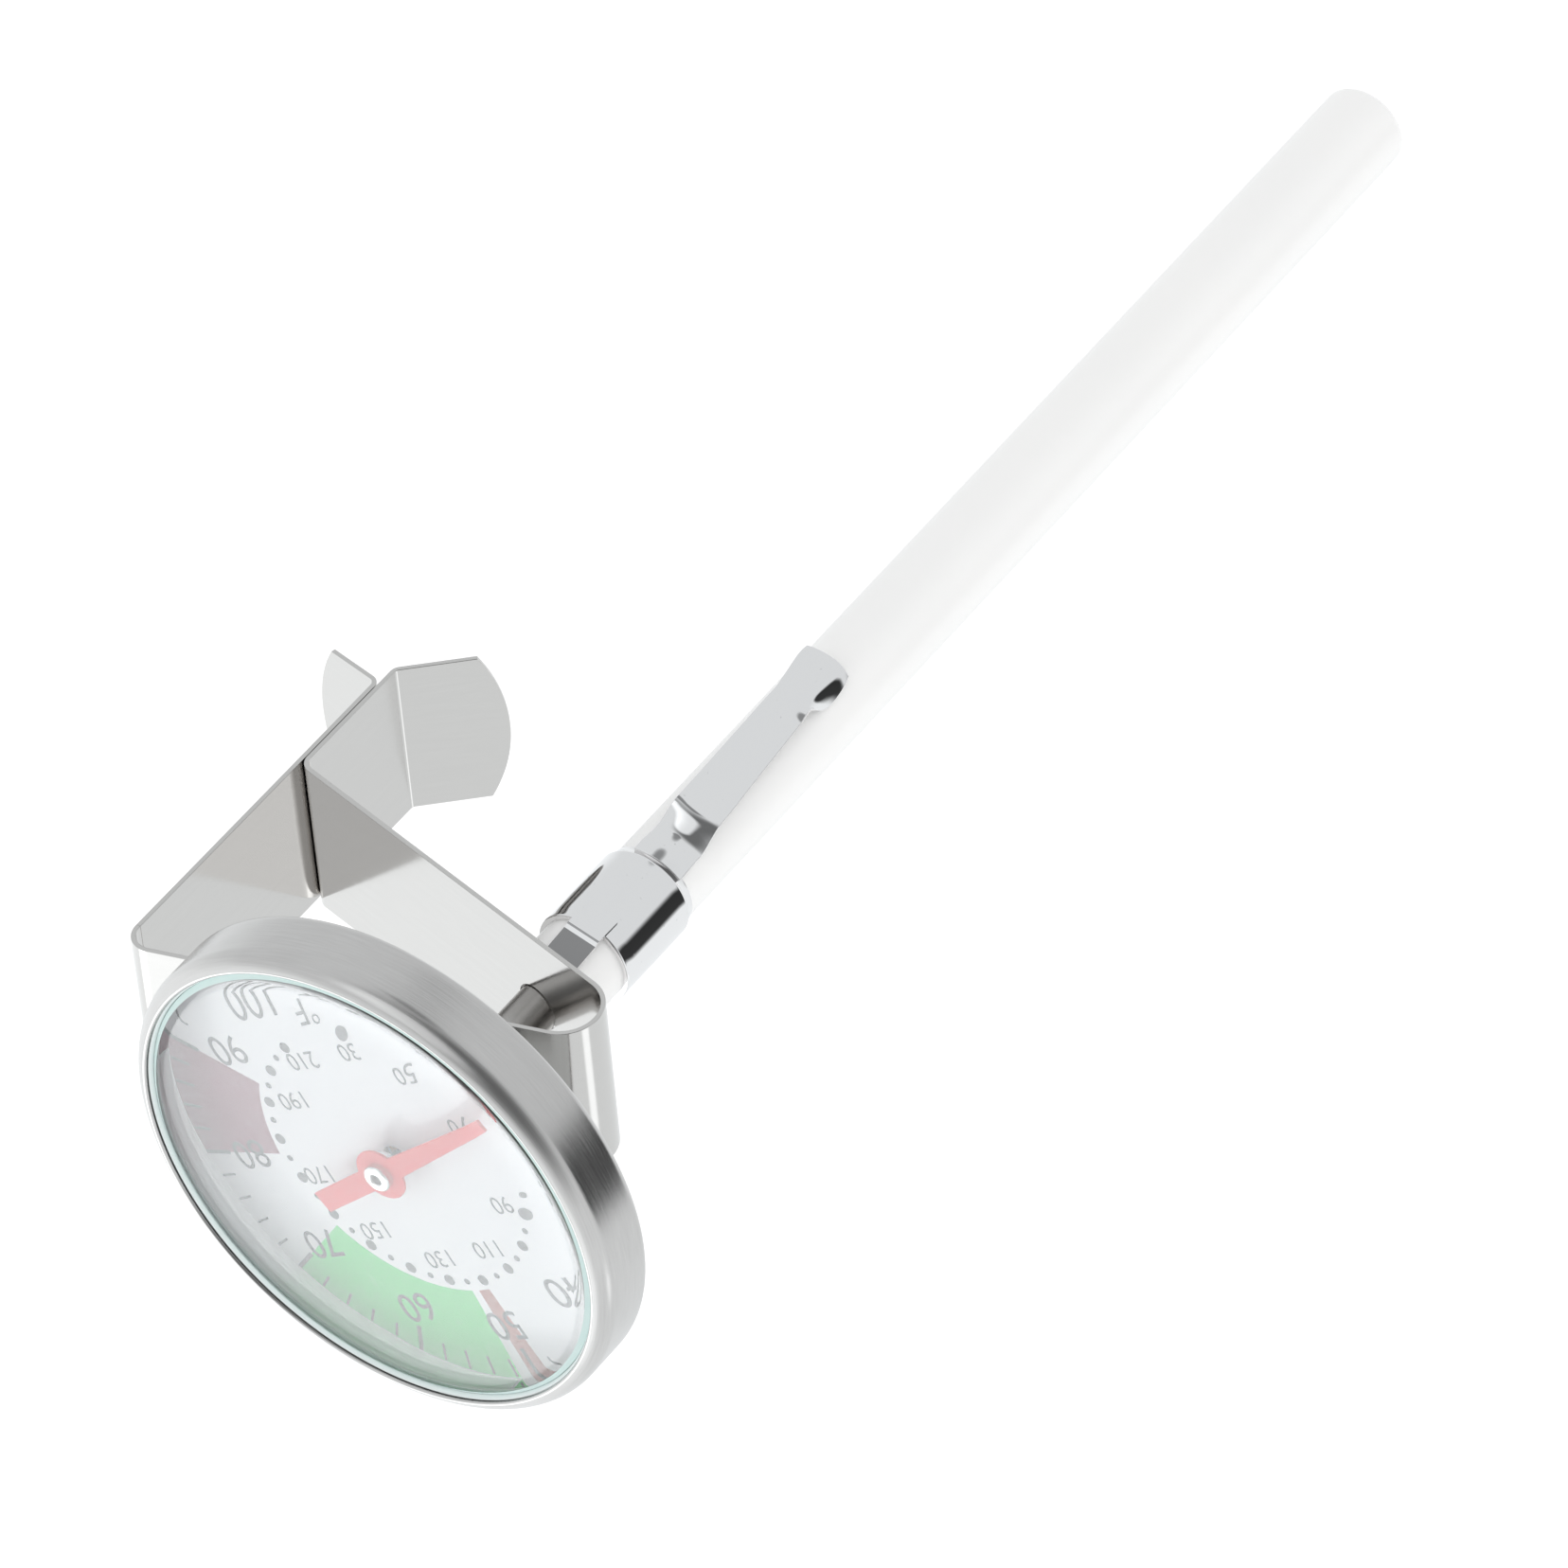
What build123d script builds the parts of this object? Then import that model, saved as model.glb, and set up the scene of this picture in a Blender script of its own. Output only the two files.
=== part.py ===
from build123d import *
import math
import os

# Dial thermometer with a bimetal stem, a jug clip and a sheath that carries a pocket clip.
# Millimetres. The stem's axis is Z and the dial looks along +Z. Z = 0 is the underside of
# the calibration nut, where the free stem begins, and +X points at the jug clip's jaws.

# Head: a bezel shell with a rolled lip, closed by a pressed back
head_d = 45.0
sheet = 0.5
edge_r = 1.6
lip_reach = 1.36
rear_edge_r = 0.8
rear_lip_reach = 1.7
back_sheet = 0.35
back_rim = 3.0
back_cone = 1.0
back_bend_r = 0.9
head_bottom = 4.0
pan_depth = 2.1
lip_over_gasket = 0.85

# Window and dial
crystal_thickness = 1.5
crystal_flange = 0.6
crystal_gap = 0.15
window_inside_lip = 0.84
window_bevel = 0.5
gasket_thickness = 0.45
gasket_width = 0.55
spacer_wall = 0.45
spacer_gap = 0.05
spacer_height = 3.2
dial_thickness = 0.25
dial_gap = 0.1
dial_hole_d = 2.4

# Stem and what it holds
stem_d = 3.9
stem_wall = 0.35
stem_length = 127.0
stem_head_length = 5.6
tip_spigot = 2.0
nose_length = 2.5
groove_depth = 0.1
running_gap = 0.05
nut_flats = 7.0
nut_height = 3.4
nut_chamfer = 0.5
nut_chamfer_height = 0.3
washer_thickness = 0.5
washer_width = 1.4
washer_gap = 0.05
socket_wall = 1.3
socket_flange_width = 1.3
socket_flange = 0.6
ring_width = 1.25
ring_thickness = 0.4
bush_length = 2.4
bush_above_collar = 5.7
shaft_d = 1.0
helix_length = 32.4
helix_pitch = 1.62
helix_strip = 0.22
helix_strip_width = 0.9
helix_gap = 0.07
anchor_thickness = 1.0
collar_thickness = 1.2
collar_bore_gap = 0.3

# Pointer: reads 18.5 degrees C at rest on a scale of 3.25 degrees of turn per degree C
scale_zero_angle = 285.6
scale_turn = 3.25
rest_reading = 18.5
pointer_above_dial = 1.9
pointer_thickness = 0.2
pointer_tip = 14.9
pointer_tail = 8.95
pointer_tip_w = 1.1
pointer_root_w = 2.0
pointer_tail_w = 1.94
pointer_disc_d = 4.6
hub_d = 2.4
hub_height = 1.8
hub_above_pointer = 0.7
hub_step = 0.35
hub_chamfer = 0.25

# Jug clip: one spring strip, pierced twice by the stem
strip_w = 15.25
strip_t = 0.4
jaw_clear_of_head = 5.0
jaw_gap = 0.05
upper_arm_angle = 14.8
lower_arm_angle = 14.0
upper_arm_z = -2.03
lower_arm_z = -11.87
apex_r = 3.2
shoulder_r = 1.8
pinch_r = 1.2
fold_r = 0.8
leg_root_below_shoulder = 2.7
inner_jaw_length = 12.7
outer_leg_length = 34.7
inner_tab_length = 8.7
inner_tab_angle = 48.2
outer_tab_length = 7.3
outer_tab_angle = 77.8
tab_end_r = 15.3
clip_hole_gap = 0.1
clip_hole_length = 30.0
leg_gap = 0.02

# Sheath with its pocket clip
sheath_wall = 1.5
sheath_bore_gap = 0.4
sheath_below_clip = 2.03
sheath_tip_room = 5.9
sheath_end_wall = 1.4
sheath_end_r = 0.9
collar_length = 3.0
collar_gap = 0.08
mouth_chamfer = 0.3
band_wall = 0.45
band_length = 9.5
band_below_mouth = 4.0
band_shoulder = 1.1
band_edge = 0.15
band_foot = 0.1
band_belly = 0.3
tab_t = 0.3
tab_w = 3.0
tab_angle = 255.0
tab_reach = 1.5
tab_hook = 1.25
tab_step = 1.3
tab_bend_r = 0.3
tab_gap = 0.01
tab_above_band = 0.35
blade_t = 0.4
blade_angle = 251.0
blade_skew = 3.4
blade_gap = 0.06
blade_root_w = 4.5
blade_ridge_w = 4.2
blade_end_w = 3.5
blade_flare_w = 3.9
blade_tip_w = 2.6
blade_length = 25.1
blade_saddle = 1.9
blade_ridge = 3.6
blade_flare = 22.6
blade_clear = 0.2
blade_lift = 1.3
blade_end_lift = 1.15
blade_tip_lift = 0.7
blade_saddle_r = 0.9
blade_ridge_r = 0.5
blade_tip_r = 2.0
blade_straight_end = 19.8
blade_widest = 22.0

parts = {}


def save(name, solid):
    """Keep a finished piece under the name that its file gets."""
    parts[name] = solid


def outline(*points):
    """A closed outline in the XZ plane, from (radius, height) points."""
    return make_face(Plane.XZ * Polyline(*points, close=True))


def turned(*points):
    """A ring or disc made by turning a closed outline about the stem's axis."""
    return revolve(outline(*points), Axis.Z)


def ring(outer_r, inner_r, low, high):
    """A plain ring between two heights."""
    return turned((inner_r, low), (outer_r, low), (outer_r, high), (inner_r, high))


def strip(path, width, thickness):
    """A strip of constant section carried along a path that lies in the XZ plane."""
    start = Plane(origin=path @ 0, x_dir=(0, 1, 0), z_dir=path % 0)
    return sweep(start * Rectangle(width, thickness), path=path)


def polar(length, degrees):
    """The end of an arm of this length, turned from +X towards +Z."""
    return (length * math.cos(math.radians(degrees)), length * math.sin(math.radians(degrees)))


# Heights that follow from the stack of pieces in the head
head_r = head_d / 2
shell_bottom = head_bottom + pan_depth - sheet
side_low = shell_bottom + rear_edge_r
back_plane = shell_bottom + sheet
dial_bottom = back_plane + back_sheet
dial_top = dial_bottom + dial_thickness
window_bottom = dial_top + spacer_height
flange_top = window_bottom + crystal_flange
window_top = window_bottom + crystal_thickness
side_high = flange_top + gasket_thickness - lip_over_gasket
lip_r = head_r - lip_reach
rear_lip_r = head_r - rear_lip_reach
window_r = lip_r - window_inside_lip
crystal_r = head_r - sheet - crystal_gap
stem_r = stem_d / 2
bore_r = stem_r - stem_wall
shaft_r = shaft_d / 2
socket_bore_r = stem_r + running_gap
socket_r = socket_bore_r + socket_wall

# ---------------------------------------------------------------- head
edge_x = head_r - edge_r
lip_turn = math.degrees(math.acos((lip_r - edge_x) / edge_r))
inner_edge_r = edge_r - sheet
rear_x = head_r - rear_edge_r
rear_inner_r = rear_edge_r - sheet
outer_arc = CenterArc((edge_x, side_high), edge_r, 0, lip_turn)
inner_arc = CenterArc((edge_x, side_high), inner_edge_r, 0, lip_turn)
rear_arc = CenterArc((rear_x, side_low), rear_edge_r, -90, 90)
rear_inner_arc = CenterArc((rear_x, side_low), rear_inner_r, -90, 90)
shell_lines = [
    outer_arc,
    Line(outer_arc @ 1, inner_arc @ 1),
    inner_arc,
    Line(inner_arc @ 0, rear_inner_arc @ 1),
    rear_inner_arc,
    Polyline(rear_inner_arc @ 0, (rear_lip_r, back_plane), (rear_lip_r, shell_bottom), rear_arc @ 0),
    rear_arc,
    Line(rear_arc @ 1, outer_arc @ 0),
]
save("bezel_shell", revolve(make_face(Plane.XZ * Curve(shell_lines)), Axis.Z))

pan_r = rear_lip_r - back_rim
pan_floor = head_bottom + back_sheet
back_face = outline(
    (socket_r, head_bottom),
    (pan_r, head_bottom),
    (pan_r + back_cone, back_plane),
    (rear_x - spacer_gap, back_plane),
    (rear_x - spacer_gap, dial_bottom),
    (pan_r + back_cone - back_sheet, dial_bottom),
    (pan_r - back_sheet, pan_floor),
    (socket_r, pan_floor),
)
outside_bend = back_face.vertices().sort_by_distance((pan_r, 0, head_bottom))[0]
back_face = fillet(outside_bend, back_bend_r)
inside_bend = back_face.vertices().sort_by_distance((pan_r - back_sheet, 0, pan_floor))[0]
back_face = fillet(inside_bend, back_bend_r - back_sheet)
save("case_back", revolve(back_face, Axis.Z))

crystal = turned(
    (0, window_bottom),
    (crystal_r, window_bottom),
    (crystal_r, flange_top),
    (window_r + window_bevel, flange_top),
    (window_r + window_bevel, window_top - window_bevel),
    (window_r, window_top),
    (0, window_top),
)
save("crystal", crystal)

gasket_inner = window_r + window_bevel + spacer_gap
gasket_top = flange_top + gasket_thickness
save("crystal_gasket", ring(gasket_inner + gasket_width, gasket_inner, flange_top, gasket_top))
spacer_outer = head_r - sheet - spacer_gap
save("spacer_ring", ring(spacer_outer, spacer_outer - spacer_wall, dial_top, window_bottom))
save("dial_plate", ring(head_r - sheet - dial_gap, dial_hole_d / 2, dial_bottom, dial_top))

socket_top = pan_floor + socket_flange
socket = turned(
    (socket_bore_r, head_bottom),
    (socket_r, head_bottom),
    (socket_r, pan_floor),
    (socket_r + socket_flange_width, pan_floor),
    (socket_r + socket_flange_width, socket_top),
    (socket_bore_r, socket_top),
)
save("stem_socket", socket)

# ---------------------------------------------------------------- stem
tube_bottom = -stem_length + nose_length
spigot_top = tube_bottom + tip_spigot
nose_arc = CenterArc((0, -stem_length + stem_r), stem_r, -90, 90)
plug_lines = [
    nose_arc,
    Line(nose_arc @ 1, (stem_r, tube_bottom)),
    Polyline((stem_r, tube_bottom), (bore_r, tube_bottom), (bore_r, spigot_top), (0, spigot_top)),
    Line((0, spigot_top), nose_arc @ 0),
]
save("stem_tip_plug", revolve(make_face(Plane.XZ * Curve(plug_lines)), Axis.Z))
anchor_top = spigot_top + anchor_thickness
save("helix_anchor", Pos(0, 0, (spigot_top + anchor_top) / 2) * Cylinder(bore_r, anchor_thickness))

collar_r = bore_r - collar_bore_gap
helix_r = collar_r - helix_strip
helix_low = anchor_top + helix_gap + helix_strip_width / 2
coil = Helix(pitch=helix_pitch, height=helix_length, radius=helix_r, center=(0, 0, helix_low))
coil_start = Plane(origin=coil @ 0, x_dir=(1, 0, 0), z_dir=coil % 0)
coil_section = coil_start * Rectangle(helix_strip, helix_strip_width)
save("bimetal_helix", sweep(coil_section, path=coil, is_frenet=True))

collar_low = helix_low + helix_length + helix_strip_width / 2 + helix_gap
collar_high = collar_low + collar_thickness
lower_bush_low = collar_high + bush_above_collar
bush_bore = shaft_r + running_gap
save("lower_bush", ring(bore_r, bush_bore, lower_bush_low, lower_bush_low + bush_length))
save("upper_bush", ring(bore_r, bush_bore, stem_head_length - bush_length, stem_head_length))

tube = ring(stem_r, bore_r, tube_bottom, stem_head_length)
groove_z = lower_bush_low + bush_length / 2
groove = turned(
    (stem_r - groove_depth, groove_z),
    (stem_r + groove_depth, groove_z - 2 * groove_depth),
    (stem_r + groove_depth, groove_z + 2 * groove_depth),
)
save("stem_tube", tube - groove)

hexagon = RegularPolygon(radius=nut_flats / 2, side_count=6, major_radius=False)
hex_bar = extrude(hexagon, nut_height)
nut_corner = nut_flats / math.sqrt(3)
nut_envelope = turned(
    (stem_r, 0),
    (nut_corner - nut_chamfer, 0),
    (nut_corner, nut_chamfer_height),
    (nut_corner, nut_height - nut_chamfer_height),
    (nut_corner - nut_chamfer, nut_height),
    (stem_r, nut_height),
)
save("calibration_nut", hex_bar & nut_envelope)
washer_low = nut_height + washer_gap
washer_r = socket_bore_r + washer_width
save("friction_washer", ring(washer_r, socket_bore_r, washer_low, washer_low + washer_thickness))
ring_low = socket_top + running_gap
save("retaining_ring", ring(stem_r + ring_width, stem_r, ring_low, ring_low + ring_thickness))

# ---------------------------------------------------------------- pointer
pointer_low = dial_top + pointer_above_dial
pointer_high = pointer_low + pointer_thickness
hub_top = pointer_high + hub_above_pointer
hub_low = hub_top - hub_height
shaft_top = hub_top - hub_above_pointer / 2
save("pointer_shaft", Pos(0, 0, (collar_low + shaft_top) / 2) * Cylinder(shaft_r, shaft_top - collar_low))
save("helix_collar", ring(collar_r, shaft_r, collar_low, collar_high))
hub_r = hub_d / 2
hub = turned(
    (shaft_r, hub_low),
    (hub_r + hub_step, hub_low),
    (hub_r + hub_step, pointer_low),
    (hub_r, pointer_low),
    (hub_r, hub_top - hub_chamfer),
    (hub_r - hub_chamfer, hub_top),
    (shaft_r, hub_top),
)
save("pointer_hub", hub)
pointer_outline = Polyline(
    (-pointer_tail, -pointer_tail_w / 2),
    (0, -pointer_root_w / 2),
    (pointer_tip, -pointer_tip_w / 2),
    (pointer_tip, pointer_tip_w / 2),
    (0, pointer_root_w / 2),
    (-pointer_tail, pointer_tail_w / 2),
    close=True,
)
pointer_shape = make_face(pointer_outline) + Circle(pointer_disc_d / 2) - Circle(hub_r)
pointer_angle = scale_zero_angle - scale_turn * rest_reading
pointer = Pos(0, 0, pointer_low) * Rot(0, 0, pointer_angle) * extrude(pointer_shape, pointer_thickness)
save("pointer", pointer)

# ---------------------------------------------------------------- jug clip
rise = math.tan(math.radians(upper_arm_angle))
fall = math.tan(math.radians(lower_arm_angle))
jaw_x = head_r + jaw_clear_of_head
inner_jaw_x = jaw_x - strip_t - jaw_gap
apex_x = (lower_arm_z - upper_arm_z) / (rise + fall)
apex = (apex_x, upper_arm_z + rise * apex_x)
shoulder_point = (jaw_x, upper_arm_z + rise * jaw_x)
pinch = (inner_jaw_x, lower_arm_z - fall * inner_jaw_x)
inner_fold = (inner_jaw_x, pinch[1] - inner_jaw_length)
outer_fold = (jaw_x, shoulder_point[1] - outer_leg_length)
leg_root_z = shoulder_point[1] - leg_root_below_shoulder


def tab_end(fold, length, degrees, side):
    """Where a tab ends when it leans this far from straight down, to one side of the jaw."""
    run, drop = polar(length, 90 - degrees)
    return (fold[0] + side * run, fold[1] - drop)


def rounded_tab(fold, end, length):
    """What is cut off a tab so that its end is an arc across the strip."""
    along = Vector(end[0] - fold[0], 0, end[1] - fold[1])
    face = Plane(origin=(fold[0], 0, fold[1]), x_dir=along, z_dir=along.cross(Vector(0, 1, 0)))
    depth = 8 * strip_t
    corner = face * (Pos(length, 0, 0) * Box(length, strip_w + 2, depth))
    return corner - face * (Pos(length - tab_end_r, 0, 0) * Cylinder(tab_end_r, 2 * depth))


inner_end = tab_end(inner_fold, inner_tab_length, inner_tab_angle, -1)
frame_path = Plane.XZ * FilletPolyline(
    inner_end,
    inner_fold,
    pinch,
    apex,
    shoulder_point,
    (jaw_x, leg_root_z),
    radius=[fold_r, pinch_r, apex_r, shoulder_r],
)
stem_hole_r = stem_r + clip_hole_gap
stem_hole = Pos(0, 0, (upper_arm_z + lower_arm_z) / 2) * Cylinder(stem_hole_r, clip_hole_length)
jug_clip = strip(frame_path, strip_w, strip_t)
jug_clip = jug_clip - rounded_tab(inner_fold, inner_end, inner_tab_length) - stem_hole
save("jug_clip_frame", jug_clip)

outer_end = tab_end(outer_fold, outer_tab_length, outer_tab_angle, 1)
leg_path = Plane.XZ * FilletPolyline((jaw_x, leg_root_z - leg_gap), outer_fold, outer_end, radius=fold_r)
leg = strip(leg_path, strip_w, strip_t) - rounded_tab(outer_fold, outer_end, outer_tab_length)
save("jug_clip_leg", leg)

# ---------------------------------------------------------------- sheath and pocket clip
sheath_bore_r = stem_r + sheath_bore_gap
sheath_r = sheath_bore_r + sheath_wall
sheath_top = lower_arm_z - sheath_below_clip
sheath_bottom = -stem_length - sheath_tip_room - sheath_end_wall
sheath_length = sheath_top - sheath_bottom
sheath_body = Pos(0, 0, (sheath_top + sheath_bottom) / 2) * Cylinder(sheath_r, sheath_length)
sheath_body = fillet(sheath_body.edges().sort_by(Axis.Z)[0], sheath_end_r)
bore_low = sheath_bottom + sheath_end_wall
mouth_r = stem_r + collar_gap
hollow = turned(
    (0, bore_low),
    (sheath_bore_r, bore_low),
    (sheath_bore_r, sheath_top - collar_length - (sheath_bore_r - mouth_r)),
    (mouth_r, sheath_top - collar_length),
    (mouth_r, sheath_top - mouth_chamfer),
    (mouth_r + mouth_chamfer, sheath_top),
    (0, sheath_top),
)
save("sheath_tube", sheath_body - hollow)

band_r = sheath_r + band_wall
band_high = sheath_top - band_below_mouth
band_low = band_high - band_length
band_lines = Plane.XZ * Curve([
    Line((sheath_r, band_low), (sheath_r, band_high)),
    Line((sheath_r, band_high), (band_r - band_edge, band_high)),
    Line((band_r - band_edge, band_high), (band_r, band_high - band_edge)),
    Line((band_r, band_high - band_edge), (band_r, band_low + band_shoulder)),
    ThreePointArc(
        (band_r, band_low + band_shoulder),
        (band_r - band_belly * band_wall, band_low + band_belly * band_shoulder),
        (sheath_r + band_foot, band_low),
    ),
    Line((sheath_r + band_foot, band_low), (sheath_r, band_low)),
])
save("pocket_clip_band", revolve(make_face(band_lines), Axis.Z))

tab_rest = sheath_r + tab_t / 2
tab_raised = band_r + tab_t / 2 + tab_gap
tab_path = Plane.XZ * FilletPolyline(
    (tab_rest - tab_hook, sheath_top + tab_t / 2 + tab_gap),
    (tab_rest, sheath_top + tab_t / 2 + tab_gap),
    (tab_rest, band_high + tab_above_band + tab_step),
    (tab_raised, band_high + tab_above_band),
    (tab_raised, band_high - tab_reach),
    radius=tab_bend_r,
)
save("band_lock_tab", Rot(0, 0, tab_angle) * strip(tab_path, tab_w, tab_t))

blade_rest = sheath_r + blade_clear + blade_t / 2
blade_path = Plane.XZ * FilletPolyline(
    (blade_rest, 0),
    (blade_rest, -blade_saddle),
    (blade_rest + blade_lift, -blade_ridge),
    (blade_rest + blade_end_lift, -blade_flare),
    (blade_rest + blade_tip_lift, -blade_length),
    radius=[blade_saddle_r, blade_ridge_r, blade_tip_r],
)
blade_plan = make_face(Plane.YZ * Polyline(
    (-blade_root_w / 2, 0),
    (-blade_ridge_w / 2, -blade_ridge),
    (-blade_end_w / 2, -blade_straight_end),
    (-blade_flare_w / 2, -blade_widest),
    (-blade_tip_w / 2, -blade_length),
    (blade_tip_w / 2, -blade_length),
    (blade_end_w / 2, -blade_widest),
    (blade_end_w / 2, -blade_straight_end),
    (blade_ridge_w / 2, -blade_ridge),
    (blade_root_w / 2, 0),
    close=True,
))
blade_reach = 4 * sheath_r
blade = strip(blade_path, blade_root_w + 1, blade_t) & extrude(blade_plan, blade_reach)
blade = Rot(blade_skew, 0, 0) * blade
blade = Rot(0, 0, blade_angle) * Pos(0, 0, band_low - blade_gap) * blade
root_trim = Pos(0, 0, band_low - blade_gap + blade_saddle) * Cylinder(blade_reach, 2 * blade_saddle)
save("pocket_clip_blade", blade - root_trim)

# ---------------------------------------------------------------- files
os.makedirs("parts", exist_ok=True)
for name, solid in parts.items():
    export_step(solid, f"parts/{name}.step")
print(len(parts), "nodes, pointer at", round(pointer_angle, 1), "degrees, leg root at", round(leg_root_z, 3))
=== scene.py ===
# A bimetal dial thermometer: steel head and stem, a sprung jug clip, and a white sheath with a pocket clip.
import bmesh
import bpy
import numpy as np
from mathutils import Matrix, Vector


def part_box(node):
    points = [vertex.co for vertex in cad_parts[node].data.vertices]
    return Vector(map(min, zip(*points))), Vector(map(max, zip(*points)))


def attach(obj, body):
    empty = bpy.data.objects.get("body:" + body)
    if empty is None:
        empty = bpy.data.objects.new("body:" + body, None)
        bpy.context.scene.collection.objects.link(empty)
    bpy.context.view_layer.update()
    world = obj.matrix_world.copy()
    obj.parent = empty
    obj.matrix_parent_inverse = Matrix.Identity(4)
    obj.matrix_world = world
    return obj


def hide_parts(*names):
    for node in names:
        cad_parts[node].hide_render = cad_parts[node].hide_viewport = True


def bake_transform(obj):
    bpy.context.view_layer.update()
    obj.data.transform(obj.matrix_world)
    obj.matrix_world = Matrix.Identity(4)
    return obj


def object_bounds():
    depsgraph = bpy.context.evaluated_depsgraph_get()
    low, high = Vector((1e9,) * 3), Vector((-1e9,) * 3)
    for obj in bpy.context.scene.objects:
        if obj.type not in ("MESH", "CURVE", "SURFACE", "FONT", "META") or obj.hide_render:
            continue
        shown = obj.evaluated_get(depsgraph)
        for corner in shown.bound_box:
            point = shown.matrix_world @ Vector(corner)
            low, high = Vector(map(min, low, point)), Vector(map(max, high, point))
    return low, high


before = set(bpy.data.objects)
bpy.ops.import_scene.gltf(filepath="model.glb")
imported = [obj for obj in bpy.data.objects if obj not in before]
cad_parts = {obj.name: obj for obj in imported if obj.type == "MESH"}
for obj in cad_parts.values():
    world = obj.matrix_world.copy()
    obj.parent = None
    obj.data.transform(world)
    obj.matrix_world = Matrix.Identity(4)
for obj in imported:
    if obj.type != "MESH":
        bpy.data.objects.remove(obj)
CAD_BOX = [list(corner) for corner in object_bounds()]

# ------------------------------------------------------------------ camera, floor and light
# The thermometer stands in the air over a pale floor, seen from above the dial's left side with a long lens.
# A wide white tent gives the steel its soft greys. A dark room and two black flags give it its edges.
looks_along = Vector((0.4413, 0.6913, -0.5722)).normalized()
picture_up = Vector((0.3504, -0.7198, -0.5993)).normalized()
picture_right = looks_along.cross(picture_up)
camera_data = bpy.data.cameras.new("camera")
camera_data.lens = 265.8
camera_data.sensor_width = 36.0
camera_data.clip_end = 50.0
camera = bpy.data.objects.new("camera", camera_data)
turn = Matrix((picture_right, picture_up, -looks_along)).transposed().to_4x4()
camera.matrix_world = Matrix.Translation((-0.4110, -0.6398, 0.4872)) @ turn
bpy.context.collection.objects.link(camera)
bpy.context.scene.camera = camera
bpy.context.scene.view_settings.view_transform = "Standard"


class Wire:
    """A shader socket that can be used in sums: each sum adds the Math node that works it out."""

    def __init__(self, tree, socket):
        self.tree, self.socket = tree, socket

    def math(self, operation, *values):
        return self.node("ShaderNodeMath", {"operation": operation}, (self, *values), "Value")

    def node(self, kind, settings, values, out=0):
        """Any node: its settings first, then the values or wires of its inputs, by order or by name."""
        node = self.tree.nodes.new(kind)
        for key, value in settings.items():
            setattr(node, key, value)
        pairs = values.items() if isinstance(values, dict) else enumerate(values)
        for key, value in pairs:
            if isinstance(value, Wire):
                self.tree.links.new(value.socket, node.inputs[key])
            else:
                node.inputs[key].default_value = value
        return Wire(self.tree, node.outputs[out])

    def __add__(self, other):
        return self.math("ADD", other)

    def __sub__(self, other):
        return self.math("SUBTRACT", other)

    def __mul__(self, other):
        return self.math("MULTIPLY", other)

    def __truediv__(self, other):
        return self.math("DIVIDE", other)

    def __pow__(self, other):
        return self.math("POWER", other)

    def __rsub__(self, other):
        return self.node("ShaderNodeMath", {"operation": "SUBTRACT"}, (other, self), "Value")

    __radd__, __rmul__ = __add__, __mul__

    def soft(self, low, high):
        """A smooth rise from 0 at low to 1 at high."""
        settings = {"interpolation_type": "SMOOTHSTEP"}
        values = {"Value": self, "From Min": low, "From Max": high, "To Min": 0.0, "To Max": 1.0}
        return self.node("ShaderNodeMapRange", settings, values, "Result")

    def along(self, vector):
        """How far a direction points the same way as another."""
        settings = {"operation": "DOT_PRODUCT"}
        return self.node("ShaderNodeVectorMath", settings, (self, tuple(vector)), "Value")

    def parts(self):
        """The x, y and z of a vector."""
        node = self.tree.nodes.new("ShaderNodeSeparateXYZ")
        self.tree.links.new(self.socket, node.inputs[0])
        return [Wire(self.tree, socket) for socket in node.outputs]


def blended(mask, a, b):
    """Colour a where the mask is 0, and colour b where it is 1."""
    values = {"Factor": mask, 6: (*a, 1.0), 7: (*b, 1.0)}
    return mask.node("ShaderNodeMix", {"data_type": "RGBA"}, values, 2)


world = bpy.data.worlds.new("tent")
bpy.context.scene.world = world
world.use_nodes = True
tent_tree = world.node_tree
tent_tree.nodes.clear()
tent = Wire(tent_tree, tent_tree.nodes.new("ShaderNodeTexCoord").outputs["Generated"])
to_camera = tent.along(-looks_along)
side_level = 0.80 + 0.17 * tent.along(Vector((0.0, 1.0, 0.0))).soft(-0.3, 0.3)
over_arm = tent.along(Vector((0.658, 0.691, 0.297))).soft(0.5, 0.95)
over_saddle = tent.along(Vector((0.08, -0.66, 0.75))).soft(0.88, 0.96)
over_dial = tent.along(Vector((0.4413, 0.6913, 0.5722))).soft(0.972, 0.988)
over_clip = tent.along(Vector((0.05, 0.66, 0.75))).soft(0.90, 0.98)
over_fold = tent.along(Vector((-0.72, 0.69, -0.05))).soft(0.985, 0.995)
room = to_camera.soft(0.45, 0.97)
flag_right = tent.along(picture_right).soft(0.935, 0.984)
flag_front = tent.along(Vector((0.0, -0.95, -0.31))).soft(0.965, 0.99)
dark = (1 - 0.80 * room) * (1 - 0.96 * flag_right) * (1 - 0.65 * flag_front)
wash = 1.15 * over_dial + 0.4 * over_clip + 0.6 * over_fold + 0.27 * over_arm
reflected = (side_level + wash) * dark + 0.7 * over_saddle
mirrored = tent.node("ShaderNodeLightPath", {}, {}, "Is Glossy Ray")
seen = tent.node("ShaderNodeLightPath", {}, {}, "Is Camera Ray")
strength = reflected * mirrored + (1 - mirrored) * (0.93 + 0.07 * seen)
cooler = blended(mirrored, (1.0, 1.0, 1.0), (0.955, 0.985, 1.0))
backdrop = tent.node("ShaderNodeBackground", {}, {"Color": cooler, "Strength": strength})
sky_out = tent_tree.nodes.new("ShaderNodeOutputWorld")
tent_tree.links.new(backdrop.socket, sky_out.inputs["Surface"])

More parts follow.
